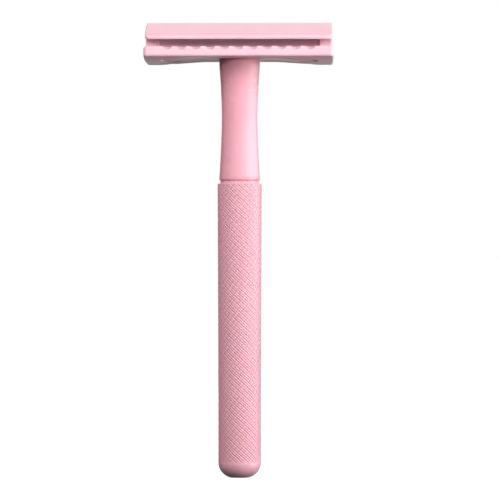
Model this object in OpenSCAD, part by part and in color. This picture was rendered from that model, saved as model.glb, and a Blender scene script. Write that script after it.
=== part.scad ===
// Three-piece double-edge safety razor.
// A curved cap and a scalloped baseplate clamp one blade on a two-part metal handle.
// Millimetres. +Z runs up the handle to the head, +X along the blade's cutting edges.
// The origin is the centre of the handle's foot.

/* [Overall] */
// Height of the cap's crown above the foot of the handle
razor_h = 105.7; // [102:0.1:112]
// Height of the parting line between grip and neck
joint_z = 68.9; // [66:0.1:70]

/* [Cap] */
// Length of the cap along the blade's edges
cap_w = 43.4; // [42.9:0.1:43.6]
// Distance between the two lips
cap_d = 21.2; // [20.5:0.1:21.3]
// Radius of the cap's outer arc
cap_r = 16.8; // [15.5:0.1:17.5]
// Height of the flat face on each lip
lip_t = 0.8; // [0.3:0.05:0.9]
// Radius of the cap's end corners, seen from the front
cap_corner = 1.3; // [0.4:0.1:1.8]

/* [Blade] */
// Length of the blade over its end tabs
blade_l = 42.8; // [42.5:0.1:42.9]
// Width of the flat blade between its two edges
blade_w = 22.0; // [21.9:0.1:22.1]
// Thickness of the steel strip
blade_t = 0.1; // [0.08:0.01:0.12]
// Radius that the clamped blade is bent to
bend_r = 30; // [27:0.5:36]
// Length of one sharpened edge
edge_l = 37.2; // [36:0.1:38]
// Width of the ground facet on each side of an edge
facet_w = 0.9; // [0.5:0.1:1.5]
// Width of the tab at each end
tab_w = 14.8; // [13:0.1:16]
// Width of the long slot in the blade
blade_slot_w = 2.2; // [1.8:0.1:2.6]

/* [Baseplate] */
// Length of the baseplate
plate_w = 43.7; // [43.2:0.1:45]
// Depth of the baseplate over both guard bars
plate_d = 24.0; // [23.4:0.1:26]
// Gap between a lip and the guard bar below it
guard_gap = 1.45; // [1.2:0.05:1.7]
// Height of a guard bar's outer face
bar_h = 2.4; // [2:0.1:3]
// How far the middle of the underside hangs below the bars
crown_drop = 1.25; // [0.8:0.05:1.4]
// Distance from the middle to the inner wall of a drain slot
slot_in = 5.7; // [5.4:0.1:6]
// Width of a drain slot
slot_w = 2.8; // [2.4:0.1:3.8]
// Length of a drain slot
slot_l = 36.4; // [30:0.1:36.6]
// Depth of each end platform under the blade, from the middle
platform_y = 7.4; // [6:0.1:9.8]
// Rise of the arch that hollows the underside
arch_rise = 1.56; // [1.2:0.02:1.7]
// Number of scallops along each guard bar
scallop_n = 11; // [7:1:11]
// Distance from one scallop to the next
scallop_pitch = 3.28; // [3:0.01:3.4]
// Radius of the cutter that makes a scallop
scallop_r = 1.3; // [1:0.05:1.5]
// How far a scallop runs down the bar's outer face
scallop_drop = 1.0; // [0.6:0.05:1.2]

/* [Neck] */
// Diameter of the neck at both ends
neck_end_d = 9.5; // [9.4:0.1:9.6]
// Diameter of the neck at its waist
waist_d = 8.33; // [8.2:0.01:8.9]
// Height of the waist above the foot
waist_z = 83.8; // [82:0.1:85]

/* [Grip] */
// Diameter of the grip over its lower, parallel stretch
grip_d = 10.0; // [9.8:0.01:10.2]
// Diameter at the top of the grip
grip_top_d = 10.3; // [10.2:0.01:10.6]
// Height where the grip starts to widen
taper_z = 30; // [20:1:40]
// Radius of the rounded edge round the foot
foot_round = 3.5; // [1:0.1:4]
// Diameter at the bottom of the groove between grip and neck
groove_d = 9.1; // [8:0.1:9.1]

/* [Fasteners] */
// Outside diameter of the M5 thread on both studs
thread_d = 5.0; // [4.8:0.05:5]
// Pitch of the M5 thread
thread_pitch = 0.8; // [0.5:0.1:0.8]
// Turns of the head before the cap stud leaves the neck
thread_turns = 10; // [8:1:10]
// Diameter of an alignment post
post_d = 3.2; // [2.8:0.1:3.6]
// Distance of each alignment post from the middle
post_x = 15.0; // [14:0.1:15.4]
// Outside diameter of the threaded insert
insert_d = 6.4; // [6.2:0.1:6.6]

/* [Hidden] */

$fn = 96;
eps = 0.01;
// How far a cutter or a blank runs past what it shapes
past = 3;

// Clearances between pieces that move on each other
blade_slip = 0.04;
turn_slip = 0.05;
seat_slip = 0.05;
hole_slip = 0.1;

// Cap: outer arc, lips and the arc that presses on the blade
half_chord = cap_d / 2;
cap_arc_z = razor_h - cap_r;
lip_top_z = cap_arc_z + sqrt(cap_r * cap_r - half_chord * half_chord);
lip_z = lip_top_z - lip_t;
press_r = bend_r + blade_t / 2 + blade_slip;
bend_z = lip_z - sqrt(press_r * press_r - half_chord * half_chord);
press_z = bend_z + press_r;

// Blade: the flat width wrapped on the bend radius
blade_half_angle = blade_w / 2 / bend_r * 180 / PI;
facet_angle = facet_w / bend_r * 180 / PI;
tab_half_y = bend_r * sin(tab_w / 2 / bend_r * 180 / PI);
blade_hub_d = 6.4;
blade_end_hole_d = 4.2;
blade_slot_l = 36.2;

// Baseplate levels
bed_r = bend_r - blade_t / 2 - blade_slip;
crest_z = lip_z - guard_gap;
bar_low_z = crest_z - bar_h;
plate_low_z = bar_low_z - crown_drop;
crown_r = (plate_d * plate_d / 4 + crown_drop * crown_drop) / (2 * crown_drop);
arch_overrun = 1.0;
arch_half = slot_l / 2 + arch_overrun;
arch_r = (arch_half * arch_half + arch_rise * arch_rise) / (2 * arch_rise);
ridge_inset = 0.7;
ridge_y = plate_d / 2 - ridge_inset;
ridge_slope = 20;
valley_drop = 2.2;
valley_z = crest_z - valley_drop;
valley_y = ridge_y - (crest_z - valley_z) / tan(ridge_slope);
bar_edge_r = 0.5;
bar_foot_r = 0.5;
plate_corner = 0.9;
plate_end_r = 1.0;
bed_overhang = 0.1;
bed_w = blade_l + 2 * bed_overhang;
platform_gap = 0.3;
platform_l = (bed_w - slot_l) / 2 - platform_gap;
scallop_tilt = 35;
scallop_l = 8;

// Neck seat in the underside of the baseplate
seat_d = neck_end_d + 2 * hole_slip;
seat_depth = 0.7;
seat_top_z = bar_low_z + seat_depth;
neck_top_z = seat_top_z - seat_slip;

// Neck outline: a plain band at each end and the flared stretch between them
neck_top_band = 2.1;
neck_low_band = 0.3;
neck_foot = 0.65;
neck_foot_z = joint_z + neck_foot;
flare_top_z = neck_top_z - neck_top_band;
flare_low_z = neck_foot_z + neck_low_band;
flare_power = 1.6;
flare_steps = 14;
neck_edge = 0.15;

// Grip outline
collar_l = 0.6;
grip_top_z = joint_z - collar_l;
grip_edge = 0.15;

// Threads are plain cylinders at their outside diameter
thread_r = thread_d / 2;
insert_bore_r = thread_r + turn_slip;
insert_recess = 0.3;
insert_top_z = neck_top_z - insert_recess;
stud_spare = 0.1;
stud_low_z = insert_top_z - thread_turns * thread_pitch - stud_spare;
insert_below_stud = 0.6;
insert_low_z = stud_low_z - insert_below_stud;
bore_below_insert = 0.8;
neck_bore_low_z = insert_low_z - bore_below_insert;
stud_head_d = 6.6;
stud_head_t = 1.1;
stud_head_cover = 1.0;
stud_head_z = razor_h - stud_head_cover - stud_head_t;
stud_tip = 0.5;
joining_l = 14;
joining_gap = 0.5;
post_root = 1.5;
post_len = 4.2;
post_tip = 0.4;
post_top_z = press_z + post_root;
post_low_z = press_z - post_len;

// Coating and metal colours
coat_pink = [0.96, 0.71, 0.77];
steel_grey = [0.72, 0.73, 0.75];
brass_yellow = [0.80, 0.66, 0.38];

// A section drawn as depth against height, run along the head
module along_x(length) {
    rotate([90, 0, 90]) linear_extrude(length, center = true) children();
}

// An outline drawn as length against height, run from front to back
module along_y(depth) {
    rotate([90, 0, 0]) linear_extrude(depth, center = true) children();
}

// What a fillet takes off an outer corner whose arc is centred on the origin
module corner_waste(r) {
    difference() {
        square(r + 1);
        circle(r);
    }
}

// A rectangle with four round corners
module rounded_rect(w, d, r) {
    square([w - 2 * r, d], center = true);
    square([w, d - 2 * r], center = true);
    for (x = [-1, 1], y = [-1, 1])
        translate([x * (w / 2 - r), y * (d / 2 - r)]) circle(r);
}

// A slot with round ends, lying along the head
module slot_outline(length, width) {
    square([length - width, width], center = true);
    for (x = [-1, 1]) translate([x * (length - width) / 2, 0]) circle(width / 2);
}

// A threaded rod between two heights, chamfered at its low end
module stud_rod(low_z, high_z, r, chamfer) {
    translate([0, 0, low_z]) cylinder(chamfer, r - chamfer, r);
    translate([0, 0, low_z + chamfer]) cylinder(high_z - low_z - chamfer, r, r);
}

// Lens-shaped section of the cap: outer arc above, blade arc below
module cap_section() {
    difference() {
        intersection() {
            translate([0, cap_arc_z]) circle(cap_r, $fn = 180);
            translate([-half_chord, lip_z - past]) square([cap_d, razor_h - lip_z + 2 * past]);
        }
        translate([0, bend_z]) circle(press_r, $fn = 240);
    }
}

// Front outline of the cap, which rounds its two ends
module cap_front() {
    difference() {
        translate([-cap_w / 2, lip_z - past]) square([cap_w, razor_h - lip_z + 2 * past]);
        for (m = [0, 1]) mirror([m, 0])
            translate([cap_w / 2 - cap_corner, razor_h - cap_corner]) corner_waste(cap_corner);
    }
}

module cap() {
    color(coat_pink) difference() {
        intersection() {
            along_x(cap_w) cap_section();
            along_y(cap_d + past) cap_front();
        }
        translate([0, 0, press_z - past])
            cylinder(stud_head_z - press_z + past + eps, thread_r, thread_r);
        translate([0, 0, stud_head_z]) cylinder(stud_head_t, stud_head_d / 2, stud_head_d / 2);
        for (x = [-1, 1]) translate([x * post_x, 0, press_z - past])
            cylinder(post_top_z - press_z + past, post_d / 2, post_d / 2);
    }
}

// Stud whose flat head is held inside the cap
module cap_stud() {
    color(steel_grey) {
        stud_rod(stud_low_z, stud_head_z + eps, thread_r, stud_tip);
        translate([0, 0, stud_head_z]) cylinder(stud_head_t, stud_head_d / 2, stud_head_d / 2);
    }
}

// Dowel pressed into the cap, through the blade and into the baseplate
module post(side) {
    color(steel_grey) translate([side * post_x, 0, 0])
        stud_rod(post_low_z, post_top_z, post_d / 2, post_tip);
}

module post_left() {
    post(-1);
}

module post_right() {
    post(1);
}

// Point at radius r from the blade's bending axis, turned by an angle from upright
function bent(r, turn) = [r * sin(turn), r * cos(turn)];

// What grinding takes off one face of the strip: its outer face, or its inner one if side is -1
module facet_waste(side) {
    polygon([
        bent(bend_r, blade_half_angle),
        bent(bend_r + side * blade_t / 2, blade_half_angle - facet_angle),
        bent(bend_r + side * past, blade_half_angle - facet_angle),
        bent(bend_r + side * past, blade_half_angle + facet_angle),
        bent(bend_r, blade_half_angle + facet_angle),
    ]);
}

// Section of the bent steel strip, ground to an edge on both sides
module blade_section() {
    translate([0, bend_z]) difference() {
        intersection() {
            difference() {
                circle(bend_r + blade_t / 2, $fn = 240);
                circle(bend_r - blade_t / 2, $fn = 240);
            }
            polygon([
                [0, 0],
                bent(bend_r + past, blade_half_angle),
                bent(bend_r + past, -blade_half_angle),
            ]);
        }
        for (m = [0, 1], side = [-1, 1]) mirror([m, 0]) facet_waste(side);
    }
}

// Plan of the blade: notched corners, one long slot with three round openings
module blade_plan() {
    difference() {
        union() {
            square([edge_l, blade_w + past], center = true);
            square([blade_l, 2 * tab_half_y], center = true);
        }
        slot_outline(blade_slot_l, blade_slot_w);
        circle(blade_hub_d / 2);
        for (x = [-1, 1]) translate([x * post_x, 0]) circle(blade_end_hole_d / 2);
    }
}

module blade() {
    color(steel_grey) intersection() {
        along_x(blade_l) blade_section();
        translate([0, 0, lip_z - past]) linear_extrude(razor_h - lip_z + past) blade_plan();
    }
}

// Circle whose lowest stretch is the bowed underside of the baseplate
module crown_outline() {
    translate([0, plate_low_z + crown_r]) circle(crown_r, $fn = 360);
}

// Section through both guard bars and the web between them
module plate_section() {
    half = plate_d / 2;
    foot_y = half - bar_foot_r;
    foot_z = plate_low_z + crown_r - sqrt(crown_r * crown_r - foot_y * foot_y) + bar_foot_r;
    difference() {
        intersection() {
            translate([-half, plate_low_z - past]) square([plate_d, crest_z - plate_low_z + past]);
            crown_outline();
        }
        for (m = [0, 1]) mirror([m, 0]) {
            translate([half - bar_edge_r, crest_z - bar_edge_r]) corner_waste(bar_edge_r);
            translate([foot_y, foot_z]) mirror([0, 1]) corner_waste(bar_foot_r);
            polygon([
                [0, crest_z + past],
                [0, valley_z],
                [valley_y, valley_z],
                [ridge_y, crest_z],
                [ridge_y, crest_z + past],
            ]);
        }
    }
}

// Section of the bed that the blade is bent over, down to the underside
module bed_section(half_depth) {
    intersection() {
        translate([-half_depth, plate_low_z - past])
            square([2 * half_depth, razor_h - plate_low_z + past]);
        translate([0, bend_z]) circle(bed_r, $fn = 240);
        crown_outline();
    }
}

// Hollow under the middle of the baseplate, no higher than the bars' lower edges
module arch_outline() {
    intersection() {
        translate([0, plate_low_z + arch_rise - arch_r]) circle(arch_r, $fn = 720);
        translate([-arch_half, plate_low_z - past])
            square([2 * arch_half, bar_low_z - plate_low_z + past]);
    }
}

// Front outline of the baseplate, which rounds the lower end edges
module plate_front() {
    low = plate_low_z - past;
    difference() {
        translate([-plate_w / 2, low]) square([plate_w, razor_h - low]);
        for (m = [0, 1]) mirror([m, 0])
            translate([plate_w / 2 - plate_end_r, plate_low_z + plate_end_r])
                mirror([0, 1]) corner_waste(plate_end_r);
    }
}

// One cutter that runs from the bar's outer face up over its ridge
module scallop() {
    translate([0, plate_d / 2, crest_z - scallop_drop]) rotate([-scallop_tilt, 0, 0])
        translate([0, 0, scallop_r]) rotate([90, 0, 0])
            cylinder(scallop_l, scallop_r, scallop_r, center = true, $fn = 48);
}

module baseplate() {
    bore_r = thread_r + 2 * hole_slip;
    tall = razor_h;
    color(coat_pink) difference() {
        intersection() {
            union() {
                along_x(plate_w) plate_section();
                along_x(bed_w) bed_section(slot_in);
                for (x = [-1, 1]) translate([x * (bed_w - platform_l) / 2, 0, 0])
                    along_x(platform_l) bed_section(platform_y);
            }
            along_y(plate_d + past) plate_front();
            linear_extrude(tall) rounded_rect(plate_w, plate_d, plate_corner);
        }
        along_y(plate_d + past) arch_outline();
        for (y = [-1, 1]) translate([0, y * (slot_in + slot_w / 2), 0])
            linear_extrude(tall) slot_outline(slot_l, slot_w);
        cylinder(tall, bore_r, bore_r);
        translate([0, 0, bar_low_z - past]) cylinder(seat_depth + past, seat_d / 2, seat_d / 2);
        for (x = [-1, 1]) translate([x * post_x, 0, 0])
            cylinder(tall, post_d / 2 + hole_slip, post_d / 2 + hole_slip);
        for (m = [0, 1], i = [0 : scallop_n - 1]) mirror([0, m, 0])
            translate([(i - (scallop_n - 1) / 2) * scallop_pitch, 0, 0]) scallop();
    }
}

// Radius of the neck at height z, flaring both ways from the waist
function flare(z) = let (span = z > waist_z ? flare_top_z - waist_z : waist_z - flare_low_z)
    (waist_d + (neck_end_d - waist_d) * pow(min(1, abs(z - waist_z) / span), flare_power)) / 2;

module neck() {
    steps_up = [for (i = [0 : flare_steps]) waist_z + (flare_top_z - waist_z) * i / flare_steps];
    steps_low = [for (i = [0 : flare_steps - 1]) flare_low_z + (waist_z - flare_low_z) * i / flare_steps];
    outline = concat(
        [[0, joint_z], [groove_d / 2, joint_z]],
        [[neck_end_d / 2 - neck_edge, neck_foot_z - neck_edge], [neck_end_d / 2, neck_foot_z]],
        [for (z = steps_low) [flare(z), z]],
        [for (z = steps_up) [flare(z), z]],
        [[neck_end_d / 2, neck_top_z], [0, neck_top_z]]
    );
    color(coat_pink) difference() {
        rotate_extrude() polygon(outline);
        translate([0, 0, insert_low_z])
            cylinder(neck_top_z - insert_low_z + past, insert_d / 2, insert_d / 2);
        translate([0, 0, neck_bore_low_z])
            cylinder(insert_low_z - neck_bore_low_z + past, thread_r, thread_r);
        translate([0, 0, joint_z - past])
            cylinder(joining_l / 2 + joining_gap + past, thread_r, thread_r);
    }
}

// Brass bush pressed into the top of the neck, tapped for the cap stud
module thread_insert() {
    color(brass_yellow) difference() {
        translate([0, 0, insert_low_z])
            cylinder(insert_top_z - insert_low_z, insert_d / 2, insert_d / 2);
        translate([0, 0, insert_low_z - past])
            cylinder(insert_top_z - insert_low_z + 2 * past, insert_bore_r, insert_bore_r);
    }
}

// Double-ended stud that holds neck and grip together
module joining_stud() {
    half = joining_l / 2;
    color(steel_grey) {
        stud_rod(joint_z - half, joint_z, thread_r, stud_tip);
        translate([0, 0, joint_z]) cylinder(half - stud_tip, thread_r, thread_r);
        translate([0, 0, joint_z + half - stud_tip]) cylinder(stud_tip, thread_r, thread_r - stud_tip);
    }
}

// Half section of the grip: round foot, parallel stretch, slight taper, collar
module grip_section() {
    low_r = grip_d / 2;
    top_r = grip_top_d / 2;
    difference() {
        polygon([
            [0, 0],
            [low_r, 0],
            [low_r, taper_z],
            [top_r, grip_top_z - grip_edge],
            [top_r - grip_edge, grip_top_z],
            [groove_d / 2, grip_top_z],
            [groove_d / 2, joint_z],
            [0, joint_z],
        ]);
        translate([low_r - foot_round, foot_round]) mirror([0, 1]) corner_waste(foot_round);
    }
}

module grip() {
    color(coat_pink) difference() {
        rotate_extrude() grip_section();
        translate([0, 0, joint_z - joining_l / 2 - joining_gap])
            cylinder(joining_l / 2 + joining_gap + past, thread_r, thread_r);
    }
}

cap();
cap_stud();
post_left();
post_right();
blade();
baseplate();
neck();
thread_insert();
joining_stud();
grip();
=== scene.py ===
"""Looks of the three-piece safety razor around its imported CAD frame.

Shapes are worked out in millimetres in the CAD's own frame and written to meshes in metres.
The cast head parts are surfaces of a distance field, with every edge rounded as a coated
casting is. The handle, studs and posts are turned profiles, and the grip carries a true knurl.
"""
import math

import bmesh
import bpy
import numpy as np
import openvdb
from mathutils import Matrix, Vector


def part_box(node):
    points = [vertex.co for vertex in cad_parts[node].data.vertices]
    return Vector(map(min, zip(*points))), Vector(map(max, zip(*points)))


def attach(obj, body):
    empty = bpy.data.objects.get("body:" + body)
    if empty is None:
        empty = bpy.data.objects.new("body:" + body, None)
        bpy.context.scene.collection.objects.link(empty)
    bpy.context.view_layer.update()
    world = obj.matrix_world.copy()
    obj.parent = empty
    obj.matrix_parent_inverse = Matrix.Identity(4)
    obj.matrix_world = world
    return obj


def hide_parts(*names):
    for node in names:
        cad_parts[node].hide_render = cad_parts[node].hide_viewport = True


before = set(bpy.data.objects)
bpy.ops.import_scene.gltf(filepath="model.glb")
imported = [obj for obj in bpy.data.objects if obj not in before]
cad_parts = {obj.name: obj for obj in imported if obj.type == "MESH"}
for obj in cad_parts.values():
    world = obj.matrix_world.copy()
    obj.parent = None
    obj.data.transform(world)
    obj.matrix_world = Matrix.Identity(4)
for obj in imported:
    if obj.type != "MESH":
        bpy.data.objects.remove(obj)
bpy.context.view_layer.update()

MM = 0.001
TAU = 2 * math.pi


def box_mm(node):
    """Lowest and highest corner of a CAD node, in millimetres."""
    low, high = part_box(node)
    return np.array(low) / MM, np.array(high) / MM


# ---------------------------------------------------------------- sizes, mm

cap_low, cap_high = box_mm("cap")
plate_low, plate_high = box_mm("baseplate")
neck_low, neck_high = box_mm("neck")
grip_high = box_mm("grip")[1]
insert_low, insert_high = box_mm("thread_insert")
stud_low = box_mm("cap_stud")[0]
joiner_low, joiner_high = box_mm("joining_stud")
post_low, post_high = box_mm("post_right")

# Cap
CROWN_Z = cap_high[2]
LIP_Z = cap_low[2]
HALF_CHORD = cap_high[1]
CAP_HALF = cap_high[0]
CAP_R = 16.8
CAP_ARC_Z = CROWN_Z - CAP_R
CAP_END_ROUND = 0.4
CAP_END_TILT = math.radians(2.5)
CAP_CORNER = 1.3
CAP_LIP_ROUND = 0.45
LIP_TILT = math.radians(25)
LIP_TOP_Z = CAP_ARC_Z + math.sqrt(CAP_R**2 - HALF_CHORD**2)
CAP_UNDER_ROUND = 0.10

# Blade: what the bed and the cap are curved to
BEND_R = 30.0
BLADE_T = 0.1
BLADE_W = 22.0
BLADE_SLIP = 0.04
# Width of the ground facet and of the honed edge, each where its line starts and ends
FACET_W, HONED_W = (0.86, 0.82), (0.32, 0.28)
PRESS_R = BEND_R + BLADE_T / 2 + BLADE_SLIP
BED_R = BEND_R - BLADE_T / 2 - BLADE_SLIP
BEND_Z = plate_high[2] - BED_R

# Baseplate
PLATE_HALF = plate_high[0]
BAR_FACE_Y = plate_high[1]
GUARD_GAP = 1.45
BAR_H = 2.4
CREST_Z = LIP_Z - GUARD_GAP
BAR_LOW_Z = CREST_Z - BAR_H
UNDER_Z = plate_low[2]
CROWN_DROP = BAR_LOW_Z - UNDER_Z
UNDER_R = (BAR_FACE_Y**2 + CROWN_DROP**2) / (2 * CROWN_DROP)
SLOT_IN, SLOT_W, SLOT_L = 5.7, 2.8, 36.4
BED_HALF = 21.5
PLATFORM_Y, PLATFORM_SLOPE = 7.4, math.radians(12)
PLATFORM_X = SLOT_L / 2 + 0.3
ARCH_HALF, ARCH_RISE = SLOT_L / 2 + 1.0, 1.56
ARCH_R = (ARCH_HALF**2 + ARCH_RISE**2) / (2 * ARCH_RISE)
RIDGE_Y = BAR_FACE_Y - 0.7
RIDGE_SLOPE = math.radians(20)
VALLEY_Z = CREST_Z - 2.2
PLATE_CORNER = 0.9
PLATE_END_ROUND = 1.0
SCALLOPS, SCALLOP_PITCH, SCALLOP_R, SCALLOP_DROP = 11, 3.28, 1.3, 1.0
SCALLOP_TILT = math.radians(35)
BAR_ROUND, RIDGE_ROUND, SCALLOP_ROUND = 0.5, 0.25, 0.12
BED_ROUND, BED_END_ROUND, PLATFORM_ROUND = 0.2, 0.25, 0.2
BED_FILLET, BAR_FILLET = 0.05, 0.3
UNDER_ROUND, RIM_ROUND, ARCH_ROUND, SLOT_ROUND = 0.5, 0.1, 0.1, 0.22
SEAT_ROUND, HOLE_ROUND = 0.12, 0.15
SEAT_R = 4.85
SEAT_TOP_Z = BAR_LOW_Z + 0.7
STUD_HOLE_R = 2.7
POST_HOLE_R = 1.7
POST_X = (post_low[0] + post_high[0]) / 2

# Handle
JOINT_Z = neck_low[2]
NECK_TOP_Z = neck_high[2]
NECK_END_R = 4.75
WAIST_R = 4.165
WAIST_Z = 83.8
GROOVE_R = 4.55
FLARE_POWER = 1.6
GRIP_R = 5.0
GRIP_TOP_R = grip_high[0]
TAPER_Z = 30.0
FOOT_ROUND = 3.5
GRIP_TOP_Z = JOINT_Z - 0.6
GRIP_CHAMFER = 0.1
NECK_TOP_BAND, NECK_LOW_BAND = 2.1, 0.95
NECK_FOOT_ROUND, NECK_FOOT_Z = 0.3, 0.45
NECK_TOP_ROUND = 0.15
JOINT_SLIT, JOINT_CHAMFER_R, JOINT_CHAMFER_Z = 0.02, 0.14, 0.12
FOOT_RINGS_Z = (1.7, 1.4, 1.1, 0.85, 0.6, 0.4, 0.22, 0.1, 0.03)
FOOT_CENTRE_R = 0.5
COLLAR_ROUND = 0.12

# Knurl: grooves falling to the right (A) crossed by grooves rising to the right (B). STARTS is
# their number round the handle and RISE the height between two of them.
STARTS_A, RISE_A = 21, 1.322
STARTS_B, RISE_B = 24, 1.577
KNURL_DEPTH = 0.105
KNURL_LOW_Z = 2.0
KNURL_END_Z, KNURL_FADE = 3.2, 0.6
# Grooves as (place, half width, share of the full depth), all but the last in pitches
GROOVES_A = [(0.0, 0.27, 0.95), (0.5, 0.25, 0.64)]
GROOVES_B = [(0.0, 0.28, 0.62)]
GROOVES_CROSSED = 0.4
# Where the mesh has lines across one pitch
LINES_A = [0.0, 0.135, 0.27, 0.385, 0.5, 0.615, 0.73, 0.865]
LINES_B = [0.0, 0.14, 0.28, 0.72, 0.86]

# Threads
THREAD_R = 2.5
THREAD_PITCH = 0.8
THREAD_DEPTH = 0.43
FLANK_RISE, FLANK_FLAT = 2.6, 0.25
RUN_OUT = 0.35
STUD_COVER = 2.2
STUD_CHAMFER, STUD_THREAD_LOW = 0.3, 0.4
STUD_SHANK, STUD_THREAD_TOP = 1.2, 1.4
POST_TIP = 0.4
JOINER_TIP_R, JOINER_SHOULDER_R = 1.9, 2.05
JOINER_CHAMFER, JOINER_THREAD_INSET = 0.2, 0.3
BORE_CREST_R, BORE_MOUTH_R, BORE_SHARE = 2.55, 2.8, 0.3
BUSH_CHAMFER, BUSH_THREAD_INSET = 0.25, 0.3

# ---------------------------------------------------------------- fields


def both(a, b, r):
    """Distance to where two solids overlap, with an edge round of radius r."""
    u = np.maximum(a + r, 0)
    v = np.maximum(b + r, 0)
    return np.minimum(np.maximum(a, b), -r) + np.hypot(u, v)


def either(a, b, r):
    """Distance to two solids joined, with a fillet of radius r in the corner."""
    return -both(-a, -b, r)


def cut(a, b, r):
    """Distance to solid a with b taken away, with an edge round of radius r."""
    return both(a, -b, r)


def cap_field(x, y, z):
    """Lens-shaped cap: outer arc, flat lips, blade arc beneath."""
    outer = np.hypot(y, z - CAP_ARC_Z) - CAP_R
    undercut = (np.abs(y) - HALF_CHORD) * math.cos(LIP_TILT) + (LIP_TOP_Z - z) * math.sin(LIP_TILT)
    plan = both(undercut, np.abs(x) - CAP_HALF, CAP_CORNER)
    solid = both(outer, plan, CAP_LIP_ROUND)
    end = (np.abs(x) - CAP_HALF) * math.cos(CAP_END_TILT) + (z - LIP_TOP_Z) * math.sin(CAP_END_TILT)
    solid = both(solid, end, CAP_END_ROUND)
    under = PRESS_R - np.hypot(y, z - BEND_Z)
    return both(solid, under, CAP_UNDER_ROUND)


def scallop_field(x, y, z):
    """Row of slanted cutters over one guard bar, mirrored to the other."""
    reach = (SCALLOPS - 1) // 2
    nearest = np.clip(np.round(x / SCALLOP_PITCH), -reach, reach)
    rise = (np.abs(y) - BAR_FACE_Y) * math.sin(SCALLOP_TILT)
    rise = rise + (z - CREST_Z + SCALLOP_DROP) * math.cos(SCALLOP_TILT)
    return np.hypot(x - nearest * SCALLOP_PITCH, rise - SCALLOP_R) - SCALLOP_R


def plate_field(x, y, z):
    """Baseplate: bars and web, bent bed, end platforms, slots, arch and holes."""
    ax, ay = np.abs(x), np.abs(y)
    under = np.hypot(y, z - UNDER_Z - UNDER_R) - UNDER_R
    inward = (z - CREST_Z + (RIDGE_Y - ay) * math.tan(RIDGE_SLOPE)) * math.cos(RIDGE_SLOPE)
    inward = np.minimum(inward, z - VALLEY_Z)
    bars = both(ay - BAR_FACE_Y, z - CREST_Z, BAR_ROUND)
    bars = both(bars, inward, RIDGE_ROUND)
    bars = cut(bars, scallop_field(x, y, z), SCALLOP_ROUND)
    bars = both(bars, ax - PLATE_HALF, PLATE_CORNER)
    curve = np.hypot(y, z - BEND_Z) - BED_R
    bed = both(both(ay - SLOT_IN, curve, BED_ROUND), ax - BED_HALF, BED_END_ROUND)
    face = (ay - PLATFORM_Y) * math.cos(PLATFORM_SLOPE) + (z - CREST_Z) * math.sin(PLATFORM_SLOPE)
    ends = both(both(face, curve, PLATFORM_ROUND), ax - BED_HALF, BED_END_ROUND)
    ends = both(ends, PLATFORM_X - ax, PLATFORM_ROUND)
    solid = both(either(bars, either(bed, ends, BED_FILLET), BAR_FILLET), under, UNDER_ROUND)
    solid = both(solid, both(ax - PLATE_HALF, UNDER_Z - z, PLATE_END_ROUND), RIM_ROUND)
    arch = np.hypot(x, z - (UNDER_Z + ARCH_RISE - ARCH_R)) - ARCH_R
    solid = cut(solid, np.maximum(arch, z - BAR_LOW_Z), ARCH_ROUND)
    slot_y = SLOT_IN + SLOT_W / 2
    along = np.maximum(ax - (SLOT_L - SLOT_W) / 2, 0)
    solid = cut(solid, np.hypot(along, ay - slot_y) - SLOT_W / 2, SLOT_ROUND)
    seat = np.maximum(np.hypot(x, y) - SEAT_R, z - SEAT_TOP_Z)
    solid = cut(solid, seat, SEAT_ROUND)
    solid = cut(solid, np.hypot(x, y) - STUD_HOLE_R, HOLE_ROUND)
    return cut(solid, np.hypot(ax - POST_X, y) - POST_HOLE_R, HOLE_ROUND)


def slope(field, p, h=0.004):
    """Gradient of a field at points p, an array of three rows."""
    steps = np.eye(3)[:, :, None] * h
    return np.stack([(field(*(p + s)) - field(*(p - s))) / (2 * h) for s in steps])


# ---------------------------------------------------------------- meshes


def make_object(name, points, faces, body, replaces=()):
    """A smooth mesh object from points in mm, riding on a body."""
    mesh = bpy.data.meshes.new(name)
    mesh.from_pydata(np.asarray(points) * MM, [], faces)
    return place(name, mesh, body, replaces)


def place(name, mesh, body, replaces=()):
    """Links a finished mesh, shades it smooth, hangs it on its body and hides the CAD parts it
    replaces.
    """
    mesh.validate()
    mesh.polygons.foreach_set("use_smooth", np.ones(len(mesh.polygons), bool))
    piece = bpy.data.objects.new(name, mesh)
    bpy.context.scene.collection.objects.link(piece)
    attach(piece, body)
    if replaces:
        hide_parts(*replaces)
    return piece


def cast(name, field, low, high, cell, body, replaces):
    """A casting: the surface where field is 0, between two corners, at one cell size."""
    margin = 3 * cell
    axes = [np.arange(a - margin, b + margin + cell, cell) for a, b in zip(low, high)]
    x, y, z = np.meshgrid(*axes, indexing="ij", sparse=True)
    values = np.broadcast_to(field(x, y, z), [len(a) for a in axes])
    volume = openvdb.FloatGrid(4 * cell)
    volume.copyFromArray(np.clip(values, -4 * cell, 4 * cell).astype(np.float32))
    points, quads = volume.convertToQuads(isovalue=0)
    points = points.T * cell + np.array([[a[0]] for a in axes])
    for _ in range(4):
        g = slope(field, points)
        step = field(*points) * g / np.maximum((g**2).sum(0), 0.25)
        points = points - np.clip(step, -cell, cell)
    normals = slope(field, points)
    normals /= np.maximum(np.linalg.norm(normals, axis=0), 1e-9)
    corners = points.T[quads]
    facing = np.cross(corners[:, 2] - corners[:, 0], corners[:, 3] - corners[:, 1])
    outward = (facing * normals.T[quads[:, 0]]).sum(1).sum() > 0
    faces = quads if outward else quads[:, ::-1]
    piece = make_object(name, points.T, faces.tolist(), body, replaces)
    piece.data.normals_split_custom_set_from_vertices(normals.T.tolist())
    return piece


def ring_points(radius, z, angles):
    """One loop of points. radius is a number or one number for each angle."""
    r = np.broadcast_to(radius, angles.shape)
    return np.stack([r * np.cos(angles), r * np.sin(angles), np.full(angles.shape, z)], 1)


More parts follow.
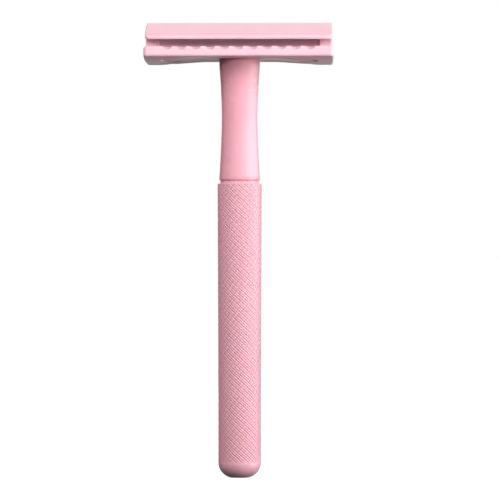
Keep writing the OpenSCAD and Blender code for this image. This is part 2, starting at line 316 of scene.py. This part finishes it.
def turned(name, rings, body, replaces, segments=96, closed=False):
    """A lathe piece from (radius, z) rings. closed joins the last ring to the first, for a
    piece with a bore; otherwise both ends are filled."""
    angles = np.arange(segments) * TAU / segments
    points = np.concatenate([ring_points(r, z, angles) for r, z in rings])
    here = np.arange(segments)
    after = (here + 1) % segments
    faces = []
    count = len(rings)
    for k in range(count if closed else count - 1):
        a, b = k * segments, (k + 1) % count * segments
        quads = np.stack([a + here, a + after, b + after, b + here], 1)
        faces += quads.tolist()
    if not closed:
        faces.append((here[::-1]).tolist())
        faces.append((here + (count - 1) * segments).tolist())
    piece = make_object(name, points, faces, body, replaces)
    fix_normals(piece)
    sharpen(piece, 35)
    return piece


def fix_normals(piece):
    """Turns every face outward."""
    bm = bmesh.new()
    bm.from_mesh(piece.data)
    bmesh.ops.recalc_face_normals(bm, faces=bm.faces)
    bm.to_mesh(piece.data)
    bm.free()


def sharpen(piece, degrees):
    """Keeps edges sharper than an angle crisp in shading."""
    piece.data.set_sharp_from_angle(angle=math.radians(degrees))


def arc(centre_r, centre_z, radius, start, end, steps):
    """Points of a round on a turned profile. Angles in degrees, 0 outward and 90 up."""
    turn = np.radians(np.linspace(start, end, steps + 1))
    return [(centre_r + radius * math.cos(t), centre_z + radius * math.sin(t)) for t in turn]


def thread_rings(low_z, high_z, crest_r, segments, inward=1.0, per_pitch=10):
    """Rings whose radius follows a 60 degree thread. A negative inward
    makes a tapped bore."""
    angles = np.arange(segments) * TAU / segments
    count = round((high_z - low_z) / THREAD_PITCH * per_pitch)
    rings = []
    for z in np.linspace(low_z, high_z, count + 1):
        phase = (z / THREAD_PITCH - angles / TAU) % 1.0
        flank = np.clip(np.abs(phase - 0.5) * FLANK_RISE - FLANK_FLAT, 0, 1)
        fade = np.clip(min(z - low_z, high_z - z) / THREAD_PITCH, 0, 1)
        share = RUN_OUT + (1 - RUN_OUT) * fade
        rings.append((crest_r - inward * THREAD_DEPTH * flank * share, z))
    return rings


# ---------------------------------------------------------------- materials


def new_material(name):
    """An empty node material with a Principled shader, and helpers to reach it."""
    material = bpy.data.materials.new(name)
    material.use_nodes = True
    nodes = material.node_tree.nodes
    nodes.clear()
    output = nodes.new("ShaderNodeOutputMaterial")
    shader = nodes.new("ShaderNodeBsdfPrincipled")
    material.node_tree.links.new(shader.outputs[0], output.inputs[0])
    return material, nodes, material.node_tree.links, shader


def noise(nodes, links, vector, scale, detail=3.0, roughness=0.55):
    """Noise texture over a vector, returning its value."""
    node = nodes.new("ShaderNodeTexNoise")
    node.inputs["Scale"].default_value = scale
    node.inputs["Detail"].default_value = detail
    node.inputs["Roughness"].default_value = roughness
    links.new(vector, node.inputs["Vector"])
    return node.outputs["Fac"]


def ramp(nodes, links, value, stops):
    """Colour ramp from (position, colour) stops."""
    node = nodes.new("ShaderNodeValToRGB")
    elements = node.color_ramp.elements
    while len(elements) < len(stops):
        elements.new(0.5)
    for element, (position, colour) in zip(elements, stops):
        element.position = position
        element.color = (*colour, 1)
    links.new(value, node.inputs["Fac"])
    return node.outputs["Color"]


def remap(nodes, links, value, low, high, start=0.0, end=1.0):
    """Value from low..high carried to start..end, held at both."""
    node = nodes.new("ShaderNodeMapRange")
    node.inputs["From Min"].default_value = low
    node.inputs["From Max"].default_value = high
    node.inputs["To Min"].default_value = start
    node.inputs["To Max"].default_value = end
    links.new(value, node.inputs["Value"])
    return node.outputs["Result"]


def blend_colours(nodes, links, factor, a, b, mode="MIX"):
    """Mix of two colours, each a socket or a plain colour."""
    node = nodes.new("ShaderNodeMix")
    node.data_type = "RGBA"
    node.blend_type = mode
    links.new(factor, node.inputs["Factor"])
    for value, socket in ((a, node.inputs[6]), (b, node.inputs[7])):
        if isinstance(value, tuple):
            socket.default_value = (*value, 1)
        else:
            links.new(value, socket)
    return node.outputs[2]


def bump(nodes, links, height, distance, strength, normal=None):
    """Bump node over a height value; distance in metres."""
    node = nodes.new("ShaderNodeBump")
    node.inputs["Distance"].default_value = distance
    node.inputs["Strength"].default_value = strength
    links.new(height, node.inputs["Height"])
    if normal is not None:
        links.new(normal, node.inputs["Normal"])
    return node.outputs["Normal"]


FLOOR_GLOW = 0.6
HEAD_PINK = (0.90, 0.525, 0.615)
NECK_PINK = (0.88, 0.385, 0.465)
# Grip pink paler and less deep than the neck's: painted sheen for the gloss on the knurl's facets
GRIP_PINK = (0.82, 0.40, 0.475)


def shade(colour, amount):
    """A colour made deeper (amount below 1) or paler (above 1), keeping its hue."""
    if amount > 1:
        return tuple(c + (1 - c) * (amount - 1) for c in colour)
    return tuple(c * amount ** (1.6 - c) for c in colour)


def coated(name, pink, peel_scale, peel, rough, painted_groove_shade=False):
    """Satin pink coat: mottled colour, fine peel in the surface, uneven gloss. With the groove
    flag set it reads the knurl's own depth and paints its grooves a deeper pink, as painted shade."""
    material, nodes, links, shader = new_material(name)
    place_of = nodes.new("ShaderNodeTexCoord").outputs["Object"]
    cloud = noise(nodes, links, place_of, 160, 4, 0.6)
    mottle = [(0.3, shade(pink, 0.96)), (0.5, pink), (0.7, shade(pink, 1.03))]
    colour = ramp(nodes, links, cloud, mottle)
    speck = noise(nodes, links, place_of, 5200, 2, 0.5)
    tint = remap(nodes, links, speck, 0.3, 0.7, 0.0, 0.12)
    colour = blend_colours(nodes, links, tint, colour, shade(pink, 1.12))
    gloss = noise(nodes, links, place_of, 420, 3, 0.6)
    roughness = remap(nodes, links, gloss, 0.3, 0.7, rough - 0.04, rough + 0.05)
    peel_height = noise(nodes, links, place_of, peel_scale, 2, 0.5)
    normal = bump(nodes, links, peel_height, peel * MM, 0.5)
    # Painted shade: the knurl's grooves darkened by their depth
    if painted_groove_shade:
        depth = nodes.new("ShaderNodeAttribute")
        depth.attribute_name = "groove"
        groove = depth.outputs["Fac"]
        groove_shade_fac = remap(nodes, links, groove, 0.2, 1.2, 0.0, 1.0)
        colour = blend_colours(nodes, links, groove_shade_fac, colour, shade(pink, 0.72))
    links.new(colour, shader.inputs["Base Color"])
    links.new(roughness, shader.inputs["Roughness"])
    links.new(normal, shader.inputs["Normal"])
    shader.inputs["IOR"].default_value = 1.5
    shader.inputs["Coat Weight"].default_value = 0.25
    shader.inputs["Coat Roughness"].default_value = 0.28
    return material


def metal(name, light, dark, rough, stretch, scale):
    """Machined metal: fine lines along one axis, uneven gloss and colour."""
    material, nodes, links, shader = new_material(name)
    place_of = nodes.new("ShaderNodeTexCoord").outputs["Object"]
    mapping = nodes.new("ShaderNodeMapping")
    mapping.inputs["Scale"].default_value = stretch
    links.new(place_of, mapping.inputs["Vector"])
    lines = noise(nodes, links, mapping.outputs[0], scale, 4, 0.65)
    cloud = noise(nodes, links, place_of, 300, 3, 0.5)
    mixed = remap(nodes, links, cloud, 0.3, 0.7)
    base = ramp(nodes, links, lines, [(0.3, dark), (0.65, light)])
    colour = blend_colours(nodes, links, mixed, base, light, "MULTIPLY")
    roughness = remap(nodes, links, lines, 0.3, 0.7, rough * 0.8, rough * 1.25)
    links.new(colour, shader.inputs["Base Color"])
    links.new(roughness, shader.inputs["Roughness"])
    links.new(bump(nodes, links, lines, 0.01 * MM, 0.4), shader.inputs["Normal"])
    shader.inputs["Metallic"].default_value = 1.0
    return material


def blade_steel(name):
    """Blade strip: satin middle, two ground facets and a honed edge along each side, the facets and
    edge painted darker as painted shade under the cap's lip.
    """
    material, nodes, links, shader = new_material(name)
    place_of = nodes.new("ShaderNodeTexCoord").outputs["Object"]
    axes = nodes.new("ShaderNodeSeparateXYZ")
    links.new(place_of, axes.inputs[0])
    across = nodes.new("ShaderNodeMath")
    across.operation = "ABSOLUTE"
    links.new(axes.outputs["Y"], across.inputs[0])
    half = BEND_R * math.sin(BLADE_W / 2 / BEND_R)
    ground, honed_shade = [
        remap(nodes, links, across.outputs[0], (half - start) * MM, (half - end) * MM)
        for start, end in (FACET_W, HONED_W)]
    mapping = nodes.new("ShaderNodeMapping")
    mapping.inputs["Scale"].default_value = (1, 40, 40)
    links.new(place_of, mapping.inputs["Vector"])
    rolled = noise(nodes, links, mapping.outputs[0], 220, 4, 0.6)
    grain = nodes.new("ShaderNodeMapping")
    grain.inputs["Scale"].default_value = (40, 1, 1)
    links.new(place_of, grain.inputs["Vector"])
    grind = noise(nodes, links, grain.outputs[0], 260, 3, 0.6)
    body = ramp(nodes, links, rolled, [(0.3, (0.50, 0.51, 0.53)), (0.7, (0.62, 0.63, 0.65))])
    # Facets darker than the body and the honed edge near black: painted shade under the cap's lip
    facet_shade = ramp(nodes, links, grind, [(0.3, (0.40, 0.40, 0.42)), (0.7, (0.52, 0.52, 0.54))])
    colour = blend_colours(nodes, links, ground, body, facet_shade)
    colour = blend_colours(nodes, links, honed_shade, colour, (0.22, 0.21, 0.24))
    links.new(colour, shader.inputs["Base Color"])
    links.new(remap(nodes, links, ground, 0, 1, 0.30, 0.17), shader.inputs["Roughness"])
    links.new(bump(nodes, links, rolled, 0.004 * MM, 0.3), shader.inputs["Normal"])
    shader.inputs["Metallic"].default_value = 1.0
    return material


def pale_floor(name):
    """Matt white paper that glows more with distance, so that it has no horizon."""
    material, nodes, links, shader = new_material(name)
    place_of = nodes.new("ShaderNodeTexCoord").outputs["Object"]
    cloud = noise(nodes, links, place_of, 6, 3, 0.5)
    links.new(ramp(nodes, links, cloud, [(0.3, (0.90, 0.90, 0.90)), (0.7, (0.93, 0.93, 0.93))]),
              shader.inputs["Base Color"])
    away = nodes.new("ShaderNodeVectorMath")
    away.operation = "LENGTH"
    links.new(place_of, away.inputs[0])
    glow = remap(nodes, links, away.outputs["Value"], 0.02, 0.5, FLOOR_GLOW, 1.0)
    links.new(glow, shader.inputs["Emission Strength"])
    shader.inputs["Emission Color"].default_value = (1, 1, 1, 1)
    shader.inputs["Roughness"].default_value = 0.9
    shader.inputs["Specular IOR Level"].default_value = 0.1
    return material


def dress(piece, material):
    """Gives a piece one material."""
    piece.data.materials.clear()
    piece.data.materials.append(material)


coat_cast = coated("coat_cast", HEAD_PINK, 2600, 0.012, 0.36)
coat_turned = coated("coat_turned", NECK_PINK, 3200, 0.008, 0.24)
coat_knurled = coated("coat_knurled", GRIP_PINK, 3600, 0.012, 0.36, painted_groove_shade=True)
steel_turned = metal("steel_turned", (0.74, 0.75, 0.77), (0.52, 0.53, 0.55), 0.26, (1, 1, 30), 500)
brass_turned = metal("brass_turned", (0.85, 0.68, 0.36), (0.66, 0.48, 0.22), 0.28, (1, 1, 30), 500)
blade_finish = blade_steel("blade_finish")

# ---------------------------------------------------------------- head

HEAD_CELL = 0.18
cap = cast("cap_casting", cap_field, cap_low, cap_high, HEAD_CELL, "cap_unit", ["cap"])
dress(cap, coat_cast)
plate = cast("baseplate_casting", plate_field, plate_low, plate_high, HEAD_CELL, "plate",
             ["baseplate"])
dress(plate, coat_cast)

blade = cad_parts["blade"]
dress(blade, blade_finish)

stud_top = CROWN_Z - STUD_COVER
stud_core = THREAD_R - THREAD_DEPTH
stud_rings = [(stud_core - STUD_CHAMFER, stud_low[2]), (stud_core, stud_low[2] + STUD_CHAMFER)]
stud_rings += thread_rings(stud_low[2] + STUD_THREAD_LOW, stud_top - STUD_THREAD_TOP, THREAD_R, 64)
stud_rings += [(THREAD_R, stud_top - STUD_SHANK), (THREAD_R, stud_top)]
cap_stud = turned("cap_stud_threaded", stud_rings, "cap_unit", ["cap_stud"], 64)
dress(cap_stud, steel_turned)

for side, node in ((-1, "post_left"), (1, "post_right")):
    low, high = box_mm(node)
    radius = (high[0] - low[0]) / 2
    rings = [(radius - POST_TIP, low[2])]
    rings += arc(radius - POST_TIP, low[2] + POST_TIP, POST_TIP, -80, 0, 6)
    rings += [(radius, high[2])]
    post = turned(node + "_pin", rings, "cap_unit", [node], 48)
    post.data.transform(Matrix.Translation((side * POST_X * MM, 0, 0)))
    dress(post, steel_turned)

# ---------------------------------------------------------------- handle


def neck_radius(z):
    """Outer radius of the neck, flaring both ways from its waist."""
    top, low = NECK_TOP_Z - NECK_TOP_BAND, JOINT_Z + NECK_LOW_BAND
    span = top - WAIST_Z if z > WAIST_Z else WAIST_Z - low
    return WAIST_R + (NECK_END_R - WAIST_R) * min(1, abs(z - WAIST_Z) / span) ** FLARE_POWER


insert_r = insert_high[0]
slit_z, flare_low_z = JOINT_Z + JOINT_SLIT, JOINT_Z + NECK_LOW_BAND
neck_rings = [(THREAD_R, slit_z), (GROOVE_R - JOINT_CHAMFER_R, slit_z)]
neck_rings += [(GROOVE_R, JOINT_Z + JOINT_CHAMFER_Z)]
neck_rings += arc(NECK_END_R - NECK_FOOT_ROUND, JOINT_Z + NECK_FOOT_Z, NECK_FOOT_ROUND, -70, 0, 8)
outer_z = np.linspace(flare_low_z, NECK_TOP_Z - NECK_TOP_BAND, 60)
neck_rings += [(neck_radius(z), z) for z in outer_z]
neck_rings += arc(NECK_END_R - NECK_TOP_ROUND, NECK_TOP_Z - NECK_TOP_ROUND, NECK_TOP_ROUND,
                  0, 90, 4)
neck_rings += [(insert_r, NECK_TOP_Z), (insert_r, insert_low[2]), (THREAD_R, insert_low[2])]
neck = turned("neck_turned", neck_rings, "handle", ["neck"], 128, closed=True)
dress(neck, coat_turned)


def crest_radius(z):
    """Radius over the knurl's crests: parallel below, widening slightly above."""
    return GRIP_R + (GRIP_TOP_R - GRIP_R) * np.clip((z - TAPER_Z) / (GRIP_TOP_Z - TAPER_Z), 0, 1)


def envelope_radius(z):
    """What the foot's round and the top chamfer leave of the grip at height z."""
    dip = np.clip(FOOT_ROUND - z, 0, FOOT_ROUND)
    foot = FOOT_ROUND - np.sqrt(FOOT_ROUND**2 - dip**2)
    chamfer = np.maximum(z - (GRIP_TOP_Z - GRIP_CHAMFER), 0)
    return crest_radius(z) - foot - chamfer


def groove_depth(turns, grooves):
    """Depth of a set of grooves, 0 on the crests and 1 in the deepest."""
    depth = np.zeros_like(turns)
    for place_at, half_width, share in grooves:
        away = np.abs((turns - place_at + 0.5) % 1 - 0.5)
        depth = np.maximum(depth, share * np.clip(1 - away / half_width, 0, 1))
    return depth


def knurl_lines(start, stop, places):
    """Every mesh line of one set between two turn counts."""
    whole = np.arange(math.floor(start) - 1, math.ceil(stop) + 1)
    return (whole[:, None] + np.array(places)).ravel()


def knurled_grip():
    """Grip mesh laid out flat as turns against height, along both sets of grooves, trimmed to the
    knurled band, wrapped round the handle and closed by a turned foot and collar."""
    low_z, high_z = KNURL_LOW_Z, GRIP_TOP_Z
    a_lines = knurl_lines(low_z / RISE_A, STARTS_A + high_z / RISE_A, LINES_A)
    b_lines = knurl_lines(-high_z / RISE_B, STARTS_B - low_z / RISE_B, LINES_B)
    a, b = np.meshgrid(a_lines, b_lines, indexing="ij")
    u = (RISE_A * a + RISE_B * b) / (STARTS_A * RISE_A + STARTS_B * RISE_B)
    z = RISE_A * (a - STARTS_A * u)
    index = np.arange(a.size).reshape(a.shape)
    quads = np.stack([index[:-1, :-1], index[1:, :-1], index[1:, 1:], index[:-1, 1:]], -1)
    quads = quads.reshape(-1, 4)
    flat_u, flat_z = u.ravel(), z.ravel()
    qu, qz = flat_u[quads], flat_z[quads]
    inside = (qu.max(1) > 0) & (qu.min(1) < 1) & (qz.max(1) > low_z) & (qz.min(1) < high_z)
    used, quads = np.unique(quads[inside], return_inverse=True)
    quads = quads.reshape(-1, 4)
    mesh = bpy.data.meshes.new("grip_knurled")
    girth = TAU * GRIP_R
    flat = np.stack([flat_u[used] * girth, flat_z[used], np.zeros(len(used))], 1)
    mesh.from_pydata(flat, [], quads.tolist())
    bm = bmesh.new()
    bm.from_mesh(mesh)
    trims = (((0, 0, 0), (-1, 0, 0)), ((girth, 0, 0), (1, 0, 0)),
             ((0, low_z, 0), (0, -1, 0)), ((0, high_z, 0), (0, 1, 0)))
    for at, out in trims:
        bmesh.ops.bisect_plane(bm, geom=bm.verts[:] + bm.edges[:] + bm.faces[:], dist=1e-5,
                               plane_co=at, plane_no=out, clear_outer=True)
    # Depth of the grooves at each point, read by the coat as painted shade
    groove = bm.verts.layers.float.new("groove")
    place_u = np.array([v.co.x for v in bm.verts]) / girth
    place_z = np.clip(np.array([v.co.y for v in bm.verts]), low_z, high_z)
    depth_a = groove_depth(STARTS_A * place_u + place_z / RISE_A, GROOVES_A)
    depth_b = groove_depth(STARTS_B * place_u - place_z / RISE_B, GROOVES_B)
    depth = np.maximum(depth_a, depth_b) + GROOVES_CROSSED * np.minimum(depth_a, depth_b)
    depth = depth * np.clip((place_z - KNURL_END_Z) / KNURL_FADE, 0, 1)
    radius = np.minimum(crest_radius(place_z) - KNURL_DEPTH * depth, envelope_radius(place_z))
    angle = place_u * TAU
    for v, r, t, h, d in zip(bm.verts, radius, angle, place_z, depth):
        v.co = (r * math.cos(t), r * math.sin(t), h)
        v[groove] = d
    bmesh.ops.remove_doubles(bm, verts=bm.verts[:], dist=2e-4)

    foot = [(envelope_radius(h), h) for h in FOOT_RINGS_Z]
    foot += [(GRIP_R - FOOT_ROUND, 0.0), (FOOT_CENTRE_R, 0.0)]
    slit_z = JOINT_Z - JOINT_SLIT
    collar = [(GROOVE_R + COLLAR_ROUND, GRIP_TOP_Z), (GROOVE_R, GRIP_TOP_Z + GRIP_CHAMFER)]
    collar += [(GROOVE_R, JOINT_Z - JOINT_CHAMFER_Z)]
    collar += [(GROOVE_R - JOINT_CHAMFER_R, slit_z), (THREAD_R, slit_z)]
    for height, profile in ((low_z, foot), (high_z, collar)):
        open_edges = [e for e in bm.edges if e.is_boundary]
        rim = {v for e in open_edges for v in e.verts if abs(v.co.z - height) < 1e-3}
        rim = sorted(rim, key=lambda v: math.atan2(v.co.y, v.co.x))
        angles = [math.atan2(v.co.y, v.co.x) for v in rim]
        previous = rim
        for r, h in profile:
            loop = [bm.verts.new((r * math.cos(t), r * math.sin(t), h)) for t in angles]
            for i in range(len(loop)):
                j = (i + 1) % len(loop)
                bm.faces.new((previous[i], previous[j], loop[j], loop[i]))
            previous = loop
        bm.faces.new(previous)
    bmesh.ops.recalc_face_normals(bm, faces=bm.faces)
    for v in bm.verts:
        v.co *= MM
    bm.to_mesh(mesh)
    bm.free()
    piece = place("grip_knurled", mesh, "handle", ["grip"])
    sharpen(piece, 10)
    return piece


grip = knurled_grip()
dress(grip, coat_knurled)

tip_z, end_z = joiner_low[2], joiner_high[2]
joiner = [(JOINER_TIP_R, tip_z), (JOINER_SHOULDER_R, tip_z + JOINER_CHAMFER)]
joiner += thread_rings(tip_z + JOINER_THREAD_INSET, end_z - JOINER_THREAD_INSET, THREAD_R, 48)
joiner += [(JOINER_SHOULDER_R, end_z - JOINER_CHAMFER), (JOINER_TIP_R, end_z)]
joining_stud = turned("joining_stud_threaded", joiner, "handle",
                      ["joining_stud"], 48)
dress(joining_stud, steel_turned)

bush_z, mouth_z = insert_low[2], insert_high[2]
tapped = thread_rings(bush_z + BUSH_THREAD_INSET, mouth_z - BUSH_THREAD_INSET, BORE_CREST_R, 48,
                      inward=-BORE_SHARE)
bush = [(insert_r, mouth_z - BUSH_CHAMFER), (insert_r, bush_z + BUSH_CHAMFER)]
bush += [(insert_r - BUSH_CHAMFER, bush_z), (BORE_MOUTH_R, bush_z)] + tapped
bush += [(BORE_MOUTH_R, mouth_z), (insert_r - BUSH_CHAMFER, mouth_z)]
insert = turned("thread_insert_tapped", bush, "handle", ["thread_insert"], 48,
                closed=True)
dress(insert, brass_turned)

# ---------------------------------------------------------------- stage, light, camera

LIGHT_CENTRE_Z = 70
WORLD_LIGHT, WORLD_REFLECTED = 0.02, 0.1
HANDLE_OFFSET = 2.4
EYE_Z = 52.9
DISTANCE = 749.0
VIEW_TURN = 1.3
LENS = 231.8


def camera_only(piece):
    """Seen by the camera, but sends no light back onto the razor."""
    piece.visible_diffuse = False
    piece.visible_glossy = False
    piece.visible_transmission = False
    piece.visible_volume_scatter = False


def add_stage():
    """Pale floor under the foot."""
    bpy.ops.mesh.primitive_plane_add(size=30, location=(0, 0, 0))
    floor = bpy.context.object
    floor.name = "floor"
    dress(floor, pale_floor("floor_paper"))
    camera_only(floor)
    floor.visible_shadow = False


def add_panel(name, azimuth, elevation, distance, width, height, watts):
    """Soft rectangular light aimed at the middle of the razor. Azimuth 0 is in front and 90 is
    to the right, both angles in degrees; lengths in mm."""
    data = bpy.data.lights.new(name, "AREA")
    data.shape = "RECTANGLE"
    data.size, data.size_y = width * MM, height * MM
    data.energy = watts
    lamp = bpy.data.objects.new(name, data)
    lamp.visible_camera = False
    bpy.context.scene.collection.objects.link(lamp)
    turn, rise = math.radians(azimuth), math.radians(elevation)
    aim = Vector((0, 0, LIGHT_CENTRE_Z)) * MM
    level = math.cos(rise)
    out = Vector((math.sin(turn) * level, -math.cos(turn) * level, math.sin(rise)))
    lamp.location = aim + out * distance * MM
    lamp.rotation_euler = (-out).to_track_quat("-Z", "Y").to_euler()


def add_lights():
    """Broad soft lights in front and on the left, a low bank from front right round to the back
    right, two fills behind, and weak bounce from below."""
    add_panel("front", 5, 30, 330, 250, 200, 0.50)
    add_panel("key", 38, 28, 450, 300, 300, 0.16)
    add_panel("right_front", 30, 14, 350, 250, 120, 0.22)
    add_panel("right_mid", 60, 16, 350, 200, 130, 0.36)
    add_panel("right_side", 80, 8, 350, 200, 250, 0.42)
    add_panel("right_rim", 108, 18, 350, 200, 200, 0.34)
    add_panel("right_back", 130, 18, 350, 150, 150, 0.11)
    add_panel("left_front", -25, 28, 330, 250, 250, 0.40)
    add_panel("left_side", -60, 20, 350, 250, 150, 0.12)
    add_panel("left_rim", -100, 25, 350, 200, 200, 0.14)
    add_panel("back_high", 180, 45, 400, 300, 300, 0.29)
    add_panel("bounce_front", 0, -28, 350, 300, 150, 0.06)
    add_panel("bounce_right", 80, -20, 350, 200, 150, 0.36)
    add_panel("bounce_back", 180, -15, 400, 400, 150, 0.10)
    add_panel("back_low", 180, 12, 500, 500, 200, 0.30)


def add_world():
    """Surround: white to the camera, faint in reflections and almost dark as light."""
    world = bpy.data.worlds.new("soft_surround")
    bpy.context.scene.world = world
    world.use_nodes = True
    nodes, links = world.node_tree.nodes, world.node_tree.links
    nodes.clear()
    ray = nodes.new("ShaderNodeLightPath").outputs
    background = nodes.new("ShaderNodeBackground")
    output = nodes.new("ShaderNodeOutputWorld")
    reflected = remap(nodes, links, ray["Is Glossy Ray"], 0, 1, WORLD_LIGHT, WORLD_REFLECTED)
    seen = nodes.new("ShaderNodeMath")
    seen.operation = "MAXIMUM"
    links.new(reflected, seen.inputs[0])
    links.new(ray["Is Camera Ray"], seen.inputs[1])
    links.new(seen.outputs[0], background.inputs["Strength"])
    background.inputs["Color"].default_value = (1, 1, 1, 1)
    links.new(background.outputs[0], output.inputs[0])


def add_camera():
    """The photograph's viewpoint: level with the middle of the razor, a little to the right."""
    data = bpy.data.cameras.new("camera")
    data.lens = LENS
    data.sensor_width = 36
    data.clip_start, data.clip_end = 0.01, 100
    camera = bpy.data.objects.new("camera", data)
    bpy.context.scene.collection.objects.link(camera)
    turn = math.radians(VIEW_TURN)
    x = HANDLE_OFFSET * math.cos(turn) + DISTANCE * math.sin(turn)
    y = HANDLE_OFFSET * math.sin(turn) - DISTANCE * math.cos(turn)
    camera.location = Vector((x, y, EYE_Z)) * MM
    camera.rotation_euler = (math.radians(90), 0, turn)
    bpy.context.scene.camera = camera


add_stage()
add_lights()
add_world()
add_camera()
bpy.context.scene.view_settings.view_transform = "Standard"
bpy.context.scene.view_settings.look = "None"
